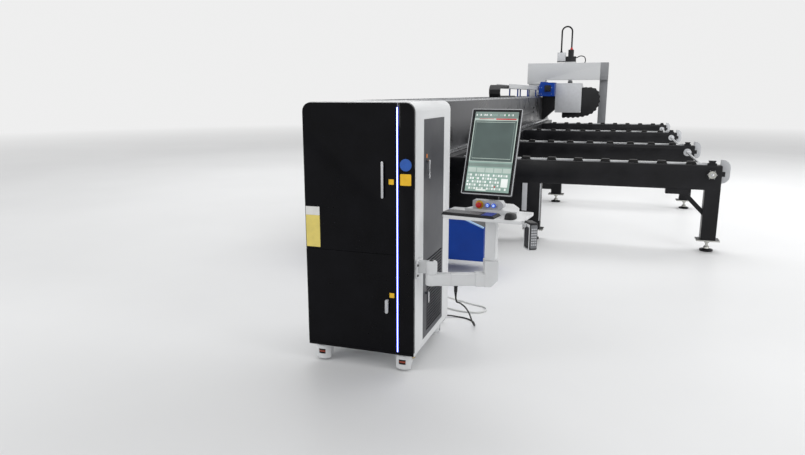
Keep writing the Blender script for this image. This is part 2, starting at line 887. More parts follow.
def side_louvre_door(cabinet):
    """Side door with pressed louvres: each slot has a sloping hood over it."""
    y0 = SIDE_DOOR_FRONT + SEAM
    y1 = SIDE_DOOR_BACK - GAP
    z0 = SIDE_DOOR_BOTTOM + SEAM
    z1 = SIDE_DOOR_TOP - SEAM
    door = block("door", (-SIDE_DOOR_THICKNESS, 0.0), (y0, y1), (z0, z1))
    helpers = [
        block(
            "pocket",
            (-SIDE_DOOR_THICKNESS - 0.01, -DOOR_SKIN),
            (y0 + DOOR_RIM, y1 - DOOR_RIM),
            (z0 + DOOR_RIM, z1 - DOOR_RIM),
        )
    ]
    hoods = []
    for k in range(LOUVRE_COUNT):
        z = LOUVRE_BOTTOM + k * LOUVRE_PITCH
        low = y0 + LOUVRE_FRONT_MARGIN
        high = y1 - LOUVRE_BACK_MARGIN
        hood = prism(
            "hood",
            [[(-DOOR_SKIN / 2, z - LOUVRE_SLOT / 2), (LOUVRE_HOOD, z - LOUVRE_SLOT / 2),
              (LOUVRE_HOOD, z - LOUVRE_SLOT / 2 + 0.002), (-DOOR_SKIN / 2, z + LOUVRE_SLOT)]],
            high - low,
            (0, low, 0),
            "front",
        )
        hoods.append(hood)
        mouth = prism(
            "mouth",
            [[(-2 * DOOR_SKIN, z - LOUVRE_SLOT / 2 - 0.004),
            (LOUVRE_HOOD - 0.003, z - LOUVRE_SLOT / 2 - 0.004),
              (LOUVRE_HOOD - 0.003, z - LOUVRE_SLOT / 2 + 0.001), (-DOOR_SKIN / 2, z + LOUVRE_SLOT - 0.005),
              (-2 * DOOR_SKIN, z + LOUVRE_SLOT - 0.005)]],
            high - low - 0.006,
            (0, low + 0.003, 0),
            "front",
        )
        helpers.append(mouth)
    door = fuse("door", [door] + hoods)
    door = carve("side_louvre_door", door, helpers)
    keep(rebase(door, (0, SIDE_DOOR_BACK, 0)), "side_louvre_door", anthracite(), cabinet)


def casters(cabinet):
    """Four levelling casters: plate, arched housing round the wheel, stem and floor pad."""
    places = (
        ("front_left", -CABINET_WIDTH + CASTER_INSET_SIDE, CASTER_INSET_FRONT),
        ("front_right", -CASTER_INSET_SIDE, CASTER_INSET_FRONT),
        ("rear_right", -CASTER_INSET_SIDE, CABINET_DEPTH - CASTER_INSET_BACK),
        ("rear_left", -CABINET_WIDTH + CASTER_INSET_SIDE, CABINET_DEPTH - CASTER_INSET_BACK),
    )
    top = CABINET_BOTTOM - GAP
    arch = CASTER_WHEEL_RADIUS + 0.006
    wheel_z = 0.004 + CASTER_WHEEL_RADIUS + 0.024
    half = CASTER_PLATE / 2
    for label, x, y in places:
        plate = prism("plate", [box_outline(-half, half, -half, half, 0.012)], 0.006, (0, 0, top - 0.006))
        bell = turned(
            "bell",
            [(0, top - 0.003), (0.030, top - 0.003), (CASTER_BODY_RADIUS, top - 0.022),
             (CASTER_BODY_RADIUS, wheel_z - 0.012), (0.040, 0.016), (0, 0.016)],
            (0, 0, 0),
            sides=16,
        )
        stem = rod("stem", (0, 0, 0.014), (0, 0, 1), 0.012, 0.014, sides=8)
        pad = turned(
            "pad",
            [(0, 0.010), (CASTER_PAD_RADIUS * 0.8, 0.010), (CASTER_PAD_RADIUS, 0.004),
            (CASTER_PAD_RADIUS, 0), (0, 0)],
            (0, 0, 0),
            sides=16,
        )
        body = fuse("body", [plate, to_mesh(bell, "bell"), stem, to_mesh(pad, "pad")])
        window = block(
            "window",
            (-CASTER_WHEEL_WIDTH / 2 - 0.003, CASTER_WHEEL_WIDTH / 2 + 0.003),
            (-CASTER_BODY_RADIUS - 0.01, CASTER_BODY_RADIUS + 0.01),
            (wheel_z - CASTER_WHEEL_RADIUS - 0.003, wheel_z + arch),
        )
        bore = rod(
            "bore", (0, 0, wheel_z), (1, 0, 0), CASTER_AXLE_RADIUS + GAP, 2 * CASTER_BODY_RADIUS - 0.012,
            sides=10,
        )
        body = carve("caster_" + label, body, [window, bore])
        body.location = (x, y, 0)
        keep(body, "caster_" + label, white_paint(), cabinet)
        half_width = CASTER_WHEEL_WIDTH / 2
        rim = CASTER_WHEEL_RADIUS
        axle_end = CASTER_BODY_RADIUS - 0.008
        wheel = turned(
            "wheel_" + label,
            [(0, axle_end), (CASTER_AXLE_RADIUS, axle_end), (CASTER_AXLE_RADIUS, half_width),
             (rim - 0.004, half_width), (rim, half_width - 0.005), (rim, 0.005 - half_width),
             (rim - 0.004, -half_width), (CASTER_AXLE_RADIUS, -half_width), (CASTER_AXLE_RADIUS, -axle_end),
             (0, -axle_end)],
            (x, y, wheel_z),
            (1, 0, 0),
            sides=14,
        )
        keep(wheel, "caster_wheel_" + label, material("caster_red", (0.62, 0.10, 0.04), 0.4), cabinet)


def cabinet_inside(cabinet):
    """Laser source on the floor of the cabinet and the drive plate on its back wall."""
    floor = CABINET_BOTTOM + SHEET + GAP
    middle = -CABINET_WIDTH / 2 - 0.035
    y0 = SOURCE_FRONT
    y1 = CABINET_DEPTH - SOURCE_BACK_ROOM
    body = block(
        "source",
        (middle - SOURCE_WIDTH / 2, middle + SOURCE_WIDTH / 2),
        (y0, y1),
        (floor + 0.020, floor + SOURCE_HEIGHT),
        bevel=0.006,
    )
    pieces = [to_mesh(body, "source")]
    for x in (middle - SOURCE_WIDTH / 3, middle + SOURCE_WIDTH / 3):
        pieces.append(block("skid", (x - 0.03, x + 0.03), (y0 + 0.03, y1 - 0.03), (floor, floor + 0.03)))
    for x in (middle - SOURCE_WIDTH / 2 + 0.04, middle + SOURCE_WIDTH / 2 - 0.04):
        pieces.append(
            to_mesh(
                tube(
                    "grip",
                    [(x, y0 + 0.004, floor + 0.09), (x, y0 - 0.030, floor + 0.10),
                     (x, y0 - 0.030, floor + 0.22), (x, y0 + 0.004, floor + 0.23)],
                    0.006,
                ),
                "grip",
            )
        )
    keep(fuse("laser_source", pieces), "laser_source", grey_paint(), cabinet)

    back = CABINET_DEPTH - SHEET - GAP
    plate_front = back - 0.020
    left = middle - DRIVE_PLATE_WIDTH / 2
    plate = block("plate", (left, left + DRIVE_PLATE_WIDTH), (plate_front - 0.003, plate_front),
        (DRIVE_PLATE_BOTTOM, DRIVE_PLATE_TOP))
    pieces = [plate]
    for x in (left + 0.04, left + DRIVE_PLATE_WIDTH - 0.04):
        for z in (DRIVE_PLATE_BOTTOM + 0.04, DRIVE_PLATE_TOP - 0.04):
            pieces.append(rod("spacer", (x, back - 0.011, z), (0, 1, 0), 0.010, 0.022, sides=12))
    pitch = DRIVE_PLATE_WIDTH / DRIVE_COUNT
    for k in range(DRIVE_COUNT):
        x = left + (k + 0.5) * pitch
        pieces.append(
            block("drive", (x - pitch * 0.40, x + pitch * 0.40),
            (plate_front - DRIVE_DEPTH, plate_front - 0.001),
                  (DRIVE_PLATE_TOP - 0.36, DRIVE_PLATE_TOP - 0.08))
        )
    pieces.append(
        block("breakers", (left + 0.05, left + DRIVE_PLATE_WIDTH - 0.05),
        (plate_front - 0.075, plate_front - 0.001),
              (DRIVE_PLATE_BOTTOM + 0.34, DRIVE_PLATE_BOTTOM + 0.43))
    )
    pieces.append(
        block("terminals", (left + 0.05, left + DRIVE_PLATE_WIDTH - 0.05),
        (plate_front - 0.05, plate_front - 0.001),
              (DRIVE_PLATE_BOTTOM + 0.10, DRIVE_PLATE_BOTTOM + 0.16))
    )
    keep(fuse("drive_rack", pieces), "drive_rack", silver(), cabinet)


def arm_bracket(cabinet):
    """White bracket bolted to the front stile, with the socket that the arm turns under."""
    plate = prism(
        "plate",
        [box_outline(PIVOT_Y - 0.040, PIVOT_Y + 0.056, BRACKET_BOTTOM - 0.005, BRACKET_TOP + 0.005, 0.012)],
        0.010,
        (GAP, 0, 0),
        "side",
    )
    low = ARM_BOTTOM + ARM_HEIGHT + GAP
    radius = ARM_WIDTH / 2
    socket = turned(
        "socket",
        [(0, BRACKET_TOP), (radius - 0.010, BRACKET_TOP), (radius, BRACKET_TOP - 0.010), (radius, low),
        (0, low)],
        (PIVOT_X, PIVOT_Y, 0),
        sides=28,
    )
    web = block(
        "web", (0.008, PIVOT_X), (PIVOT_Y - radius * 0.97, PIVOT_Y + radius * 0.97),
        (low, BRACKET_TOP - 0.006)
    )
    bolts = [
        rod("bolt", (0.014, PIVOT_Y + 0.047, z), (1, 0, 0), 0.0055, 0.010, sides=6)
        for z in (BRACKET_TOP - 0.028, BRACKET_BOTTOM + 0.012)
    ]
    bracket = fuse("arm_bracket", [plate, to_mesh(socket, "socket"), web] + bolts)
    keep(bracket, "arm_bracket", white_paint(), cabinet)


def console_arm(arm):
    """Hollow-section arm with its round end under the bracket and the elbow casting at the far end."""
    half = ARM_WIDTH / 2
    top = ARM_BOTTOM + ARM_HEIGHT
    hub = turned(
        "hub",
        [(0, top), (half, top), (half, ARM_BOTTOM + 0.006), (half - 0.006, ARM_BOTTOM), (0, ARM_BOTTOM)],
        (0, 0, 0),
        sides=28,
    )
    beam = block("beam", (0, ARM_REACH), (-half * 0.98, half * 0.98), (ARM_BOTTOM + 0.001, top - 0.001),
        bevel=0.008)
    elbow_half = ELBOW_SIZE / 2
    corner = ARM_REACH + elbow_half
    casting = prism(
        "casting",
        [rounded([(ARM_REACH - elbow_half, ARM_BOTTOM - 0.004, 0),
        (corner - ELBOW_CHAMFER, ARM_BOTTOM - 0.004, 0.010),
                  (corner, ARM_BOTTOM - 0.004 + ELBOW_CHAMFER, 0.010), (corner, ELBOW_TOP, 0),
                  (ARM_REACH - elbow_half, ELBOW_TOP, 0)], 3)],
        ELBOW_SIZE,
        (0, -elbow_half, 0),
        "front",
    )
    collar = block(
        "collar", (ARM_REACH - elbow_half - 0.016, ARM_REACH - elbow_half + 0.002),
        (-elbow_half + 0.001, elbow_half - 0.001), (ARM_BOTTOM - 0.003, top + 0.004)
    )
    clamp = rod("clamp", (CABLE_CLAMP_REACH, 0, ARM_BOTTOM - 0.012), (0, 0, 1), 0.011, 0.028, sides=14)
    pieces = [to_mesh(hub, "hub"), to_mesh(beam, "beam"), casting, collar, clamp]
    keep(fuse("console_arm", pieces), "console_arm", white_paint(), arm)


def console_post(console):
    """Square post between the elbow and the tray, with its collar at the foot."""
    half = POST_WIDTH / 2
    post = block("post", (-half, half), (-half, half), (ELBOW_TOP + GAP, TRAY_Z - GAP), bevel=0.006)
    keep(post, "console_post", white_paint(), console)


def keyboard_tray(console):
    """Tray with a pointed left end, a folded rim below and the raised foot of the monitor's neck."""
    top = TRAY_Z + TRAY_THICKNESS
    rim = rounded(
        [
            (-TRAY_LEFT + 0.042, -TRAY_FRONT, 0.010),
            (TRAY_RIGHT, -TRAY_FRONT + 0.008, 0.006),
            (TRAY_RIGHT, TRAY_BACK, 0.010),
            (-TRAY_LEFT, TRAY_BACK - 0.016, 0.010),
            (-TRAY_LEFT, -TRAY_FRONT + 0.090, 0.010),
        ],
        4,
    )
    plate = prism("plate", [rim], TRAY_THICKNESS, (0, 0, TRAY_Z))
    half = TRAY_HUMP_WIDTH / 2
    hump_outline = rounded(
        [
            (-half - 0.045, 0.002, 0.004),
            (half + 0.020, 0.002, 0.004),
            (half, 0.130, 0.010),
            (half * 0.45, TRAY_HUMP_BACK, 0.015),
            (-half * 0.45, TRAY_HUMP_BACK, 0.015),
            (-half, 0.130, 0.010),
        ],
        3,
    )
    hump = prism("hump", [hump_outline], TRAY_HUMP_RISE + 0.006, (0, 0, top - 0.006))
    tray = fuse("keyboard_tray", [plate, hump])
    hollow = prism(
        "hollow",
        [[(-TRAY_LEFT + 0.060, -TRAY_FRONT + 0.012), (TRAY_RIGHT - 0.010, -TRAY_FRONT + 0.020),
          (TRAY_RIGHT - 0.010, -0.050), (-TRAY_LEFT + 0.012, -0.050)]],
        TRAY_THICKNESS - 0.003,
        (0, 0, TRAY_Z - 0.001),
    )
    tray = carve("keyboard_tray", tray, [hollow])
    keep(tray, "keyboard_tray", white_paint(), console)


def keyboard(console):
    """Low board with one raised cap for each key."""
    seat = TRAY_Z + TRAY_THICKNESS + GAP
    shape = bmesh.new()
    bmesh.ops.create_grid(shape, x_segments=KEY_COLUMNS, y_segments=KEY_ROWS, size=0.5)
    bmesh.ops.scale(
        shape, vec=(KEYBOARD_LENGTH - 0.012, KEYBOARD_DEPTH - 0.012, 1.0), verts=shape.verts
    )
    for face in shape.faces:
        if face.normal.z < 0:
            face.normal_flip()
    cells = list(shape.faces)
    rim = [edge for edge in shape.edges if edge.is_boundary]
    skirt = bmesh.ops.extrude_edge_only(shape, edges=rim)
    low = [item for item in skirt["geom"] if isinstance(item, bmesh.types.BMVert)]
    bmesh.ops.scale(
        shape,
        vec=(KEYBOARD_LENGTH / (KEYBOARD_LENGTH - 0.012), KEYBOARD_DEPTH / (KEYBOARD_DEPTH - 0.012), 1),
        verts=low,
    )
    bmesh.ops.translate(shape, vec=(0, 0, -KEYBOARD_HEIGHT + KEY_RISE), verts=low)
    bottom_edges = [edge for edge in shape.edges if edge.is_boundary]
    bmesh.ops.contextual_create(shape, geom=bottom_edges)
    bmesh.ops.inset_individual(shape, faces=cells, thickness=KEY_GAP / 2, depth=0.0)
    caps = list({vertex for face in cells for vertex in face.verts})
    bmesh.ops.translate(shape, vec=(0, 0, KEY_RISE), verts=caps)
    bmesh.ops.recalc_face_normals(shape, faces=shape.faces)
    data = bpy.data.meshes.new("keyboard")
    bmesh.ops.translate(shape, vec=(0, 0, KEYBOARD_HEIGHT - KEY_RISE), verts=shape.verts)
    shape.to_mesh(data)
    shape.free()
    board = mesh_object("keyboard", data, (-0.103, -0.079, seat))
    board.rotation_euler.z = math.radians(-3.0)
    keep(board, "keyboard", black_plastic(), console)


def mouse(console):
    """Rounded mouse from a coarse cage."""
    seat = TRAY_Z + TRAY_THICKNESS + GAP
    half = MOUSE_WIDTH / 2
    long_half = MOUSE_LENGTH / 2
    cage = block("mouse", (-half, half), (-long_half, long_half), (0, MOUSE_HEIGHT), origin=(0, 0, 0))
    for vertex in cage.data.vertices:
        if vertex.co.z > 0:
            vertex.co.y *= 0.72
            vertex.co.x *= 0.80
    round_edges(cage, 0.012, 3, 20)
    cage.location = (0.132, -0.085, seat)
    keep(cage, "mouse", black_plastic(), console)


def monitor_axis():
    """Console-frame place of the tilt axis, from the lower front edge of the leaning monitor."""
    lean = math.radians(MONITOR_TILT)
    y = MONITOR_FRONT_Y + TILT_BEHIND_FRONT * math.cos(lean) + TILT_ABOVE_BOTTOM * math.sin(lean)
    z = MONITOR_BOTTOM_Z - TILT_BEHIND_FRONT * math.sin(lean) + TILT_ABOVE_BOTTOM * math.cos(lean)
    return Vector((MONITOR_X, y, z))


def monitor(head):
    """Upright monitor: housing with a bevelled back, a recess for the glass and two hinge ears."""
    half = MONITOR_WIDTH / 2
    front = -TILT_BEHIND_FRONT
    low = -TILT_ABOVE_BOTTOM
    high = MONITOR_HEIGHT - TILT_ABOVE_BOTTOM
    rim = prism("rim", [box_outline(-half, half, low, high, 0.006)], MONITOR_DEPTH * 0.45, (0, front, 0),
        "front")
    back = block("back", (-half + 0.03, half - 0.03), (front + MONITOR_DEPTH * 0.4, front + MONITOR_DEPTH),
                 (low + 0.04, high - 0.04), bevel=0.012)
    ear_thickness = 0.008
    ears = []
    for side in (-1, 1):
        x = side * (NECK_WIDTH / 2 + GAP) + (0 if side > 0 else -ear_thickness)
        ears.append(
            prism("ear", [[(front + MONITOR_DEPTH - 0.004, -0.030), (0.0, -NECK_THICKNESS / 2),
                           (NECK_THICKNESS / 2, 0), (0.0, NECK_THICKNESS / 2),
                           (front + MONITOR_DEPTH - 0.004, 0.030)]], ear_thickness, (x, 0, 0), "side")
        )
    housing = fuse("housing", [rim, to_mesh(back, "back")] + ears)
    recess = block("recess", (-half + BEZEL, half - BEZEL), (front - 0.01, front + SCREEN_RECESS + GAP),
                   (low + BEZEL, high - BEZEL))
    housing = carve("monitor_housing", housing, [recess])
    keep(housing, "monitor_housing", black_plastic(), head)
    glass = block(
        "monitor_screen",
        (-half + BEZEL + GAP, half - BEZEL - GAP),
        (front + SCREEN_RECESS - SCREEN_THICKNESS, front + SCREEN_RECESS),
        (low + BEZEL + GAP, high - BEZEL - GAP),
    )
    keep(glass, "monitor_screen", material("screen_glass", (0.10, 0.14, 0.13), 0.12), head)


def monitor_neck(console):
    """Neck that rises from the tray's raised foot to the tilt head behind the monitor."""
    axis = monitor_axis()
    foot = TRAY_Z + TRAY_THICKNESS + TRAY_HUMP_RISE + GAP
    half = NECK_THICKNESS / 2
    outline = [
        (0.078, foot), (0.135, foot), (0.128, foot + 0.012), (axis.y + 0.034, foot + 0.040),
        (axis.y + half + 0.004, axis.z - 0.030), (axis.y + half, axis.z), (axis.y, axis.z + half),
        (axis.y - half, axis.z), (axis.y - half + 0.004, axis.z - 0.030), (0.085, foot + 0.040),
        (0.085, foot + 0.012),
    ]
    neck = prism("monitor_neck", [outline], NECK_WIDTH, (axis.x - NECK_WIDTH / 2, 0, 0), "side")
    round_edges(neck, 0.003, 1, 50)
    keep(neck, "monitor_neck", black_plastic(), console)


def button_box(console):
    """Grey box under the monitor with a pointed right end and three sockets in its face."""
    seat = TRAY_Z + TRAY_THICKNESS + TRAY_HUMP_RISE + GAP
    top = seat + BUTTON_BOX_HEIGHT
    left = MONITOR_X - BUTTON_BOX_WIDTH / 2 - 0.008
    right = left + BUTTON_BOX_WIDTH
    middle = (seat + top) / 2
    outline = rounded(
        [(left, seat, 0.008), (right - 0.022, seat, 0.008), (right, middle - 0.006, 0.010),
         (right, middle + 0.006, 0.010), (right - 0.016, top, 0.008), (left, top, 0.008)],
        3,
    )
    box = prism("box", [outline], BUTTON_BOX_DEPTH, (0, BUTTON_BOX_Y, 0), "front")
    places = button_places()
    sockets = [
        rod("socket", (x, BUTTON_BOX_Y, middle), (0, 1, 0), BUTTON_STEM + GAP, 0.030, sides=16)
        for x, _ in places.values()
    ]
    box = carve("button_box", box, sockets)
    keep(box, "button_box", grey_paint(), console)
    for name, (x, kind) in places.items():
        stop = kind == "stop"
        radius = ESTOP_RADIUS if stop else BUTTON_RADIUS
        rise = 0.022 if stop else 0.007
        lift = BUTTON_LIFT
        profile = [(0, lift + rise), (radius * 0.86, lift + rise), (radius, lift + rise - 0.003),
            (radius, lift + rise * 0.45),
                   (radius * 0.72, lift), (BUTTON_STEM, lift), (BUTTON_STEM, -0.008), (0, -0.008)]
        button = turned(name, profile, (x, BUTTON_BOX_Y, middle), (0, -1, 0), 20)
        finish = material("stop_red", (0.62, 0.03, 0.03), 0.35) if stop else material("lit_blue",
            (0.25, 0.45, 0.95), 0.3)
        keep(button, name, finish, console)


def button_places():
    """Console-frame X of each button on the box."""
    left = MONITOR_X - BUTTON_BOX_WIDTH / 2 - 0.008
    return {
        "estop_button": (left + 0.042, "stop"),
        "start_button": (left + 0.092, "push"),
        "reset_button": (left + 0.128, "push"),
    }


def pendant(console):
    """Hand pendant in the bent holder at the tray's right end."""
    turn = math.radians(PENDANT_TURN)
    place = (PENDANT_X, PENDANT_Y, 0)
    half = PENDANT_WIDTH / 2
    deep = PENDANT_DEPTH / 2
    low = TRAY_Z + 0.012 - PENDANT_HEIGHT
    high = TRAY_Z + 0.012
    body = block("pendant", (-deep, deep), (-half, half), (low, high), origin=(0, 0, 0), bevel=0.006)
    body.location = place
    body.rotation_euler.z = turn
    keep(body, "pendant", black_plastic(), console)
    sheet = 0.003
    holder = prism(
        "holder",
        [[(-deep - GAP - sheet, low - GAP - sheet), (deep + 0.004, low - GAP - sheet),
        (deep + 0.004, low - GAP),
          (-deep - GAP, low - GAP), (-deep - GAP, high - 0.010), (-deep - GAP - sheet, high - 0.010)]],
        PENDANT_WIDTH * 0.8,
        (0, -half * 0.8, 0),
        "front",
    )
    turned_frame = Matrix.Translation(place) @ Matrix.Rotation(turn, 4, "Z")
    holder.data.transform(turned_frame @ Matrix.Translation(holder.location))
    holder.location = (0, 0, 0)
    strap = block("strap", (TRAY_RIGHT + GAP, PENDANT_X - 0.004), (PENDANT_Y - 0.020, PENDANT_Y + 0.020),
                  (TRAY_Z - 0.022, TRAY_Z + 0.002))
    near = block("near", (TRAY_RIGHT + GAP, TRAY_RIGHT + 0.006), (PENDANT_Y - 0.030, PENDANT_Y + 0.030),
                 (TRAY_Z - 0.022, TRAY_Z + TRAY_THICKNESS))
    room = block("room", (-deep - GAP, deep + GAP), (-half - GAP, half + GAP), (low - GAP, high + 0.02),
        origin=(0, 0, 0))
    room.location = place
    room.rotation_euler.z = turn
    piece = fuse("piece", [holder, strap, near])
    piece = carve("pendant_holder", piece, [room])
    keep(piece, "pendant_holder", white_paint(), console)


def bed_base(bed):
    """Closed black substructure with recessed side panels and two rows of machine feet."""
    top = BEAM_BOTTOM - GAP
    body = to_mesh(
        block("body", (BASE_LEFT, BASE_RIGHT), (BED_NEAR, BED_FAR), (BASE_BOTTOM, top), bevel=0.008,
        segments=1), "body"
    )
    pitch = (BED_FAR - BED_NEAR) / BASE_PANELS
    recesses = []
    for k in range(BASE_PANELS):
        near = BED_NEAR + (k + 0.09) * pitch
        far = BED_NEAR + (k + 0.91) * pitch
        for x in (BASE_LEFT, BASE_RIGHT):
            recesses.append(
                block("recess", (x - BASE_RECESS, x + BASE_RECESS), (near, far),
                      (BASE_BOTTOM + 0.05, LOADER_BOTTOM - 0.06))
            )
    body = carve("body", body, recesses)
    pieces = [body]
    feet = BASE_PANELS // 2 + 1
    for k in range(feet):
        y = BED_NEAR + BASE_FOOT_INSET + k * (BED_FAR - BED_NEAR - 2 * BASE_FOOT_INSET) / (feet - 1)
        for x in (BASE_LEFT + 0.12, BASE_RIGHT - 0.12):
            pieces.append(rod("pad", (x, y, 0.0125), (0, 0, 1), BASE_FOOT_RADIUS, 0.025, sides=12))
            pieces.append(rod("stud", (x, y, 0.065), (0, 0, 1), 0.018, 0.110, sides=6))
    keep(fuse("bed_base", pieces), "bed_base", black_paint(), bed)


def bed_beam(bed):
    """Long steel beam with two guide rails along its top and two slots in its side."""
    body = to_mesh(
        block("body", (BEAM_LEFT, BEAM_RIGHT), (BED_NEAR, BED_FAR), (BEAM_BOTTOM, BEAM_TOP), bevel=0.010),
        "body"
    )
    pieces = [body]
    for x in (BEAM_LEFT + 0.050, BEAM_RIGHT - 0.035 - RAIL_WIDTH):
        outline = [
            (x, BEAM_TOP - 0.004), (x + RAIL_WIDTH, BEAM_TOP - 0.004),
            (x + RAIL_WIDTH, BEAM_TOP + RAIL_HEIGHT * 0.35),
            (x + RAIL_WIDTH * 0.82, BEAM_TOP + RAIL_HEIGHT * 0.55),
            (x + RAIL_WIDTH, BEAM_TOP + RAIL_HEIGHT * 0.78),
            (x + RAIL_WIDTH, BEAM_TOP + RAIL_HEIGHT), (x, BEAM_TOP + RAIL_HEIGHT),
            (x, BEAM_TOP + RAIL_HEIGHT * 0.78), (x + RAIL_WIDTH * 0.18, BEAM_TOP + RAIL_HEIGHT * 0.55),
            (x, BEAM_TOP + RAIL_HEIGHT * 0.35),
        ]
        pieces.append(prism("rail", [outline], BED_FAR - BED_NEAR - 0.10, (0, BED_NEAR + 0.05, 0), "front"))
    beam = fuse("body", pieces)
    slots = [
        block("slot", (BEAM_RIGHT - 0.02, BEAM_RIGHT + 0.02), (SLOT_NEAR, SLOT_NEAR + SLOT_LENGTH),
        (z, z + SLOT_HEIGHT))
        for z in (SLOT_LOW, SLOT_LOW + 2 * SLOT_HEIGHT)
    ]
    keep(carve("bed_beam", beam, slots), "bed_beam", bed_steel(), bed)


def gear_rack(bed):
    """Rack bar in short lengths along the lower edge of the beam's side, with a seam between them."""
    length = (BED_FAR - BED_NEAR - 0.10) / RACK_LENGTHS
    left = BEAM_RIGHT + GAP
    right = left + RACK_DEPTH
    outline = [(left, RACK_LENGTHS * length), (left, 0.0)]
    for k in range(RACK_LENGTHS):
        y = k * length
        outline += [(right - 0.006, y), (right, y + 0.006), (right, y + length - 0.006),
            (right - 0.006, y + length)]
    outline = [point for i, point in enumerate(outline) if i == 0 or point != outline[i - 1]]
    rack = prism("gear_rack", [outline], RACK_HEIGHT, (0, BED_NEAR + 0.05, BEAM_BOTTOM + 0.005))
    keep(rack, "gear_rack", silver(), bed)


def end_cover(bed):
    """Blue folded cover at the near end of the bed, with its sloping right shoulder."""
    depth = BED_NEAR - GAP - COVER_NEAR
    t = COVER_SHEET
    slope = math.atan2(COVER_TOP - COVER_SLOPE_END, COVER_RIGHT - COVER_SLOPE_START)
    outer = [(BASE_LEFT, COVER_BOTTOM), (COVER_RIGHT, COVER_BOTTOM), (COVER_RIGHT, COVER_SLOPE_END),
             (COVER_SLOPE_START, COVER_TOP), (BASE_LEFT, COVER_TOP)]
    inner = [(BASE_LEFT + t, COVER_BOTTOM + t), (COVER_RIGHT - t, COVER_BOTTOM + t),
             (COVER_RIGHT - t, COVER_SLOPE_END - t / math.cos(slope) + t * math.tan(slope)),
             (COVER_SLOPE_START - t * math.tan(slope / 2), COVER_TOP - t), (BASE_LEFT + t, COVER_TOP - t)]
    cover = prism("cover", [outer], depth, (0, COVER_NEAR, 0), "front")
    room = prism("room", [inner], depth + 0.02, (0, COVER_NEAR + t, 0), "front")
    cover = carve("cover", cover, [room])
    spigot = rod("spigot", (HOSE_END[0], COVER_NEAR - FITTING_LENGTH / 2 + 0.002, HOSE_END[2]), (0, 1, 0),
        0.014,
                 FITTING_LENGTH, sides=14)
    keep(fuse("end_cover", [cover, spigot]), "end_cover", blue_paint(), bed)


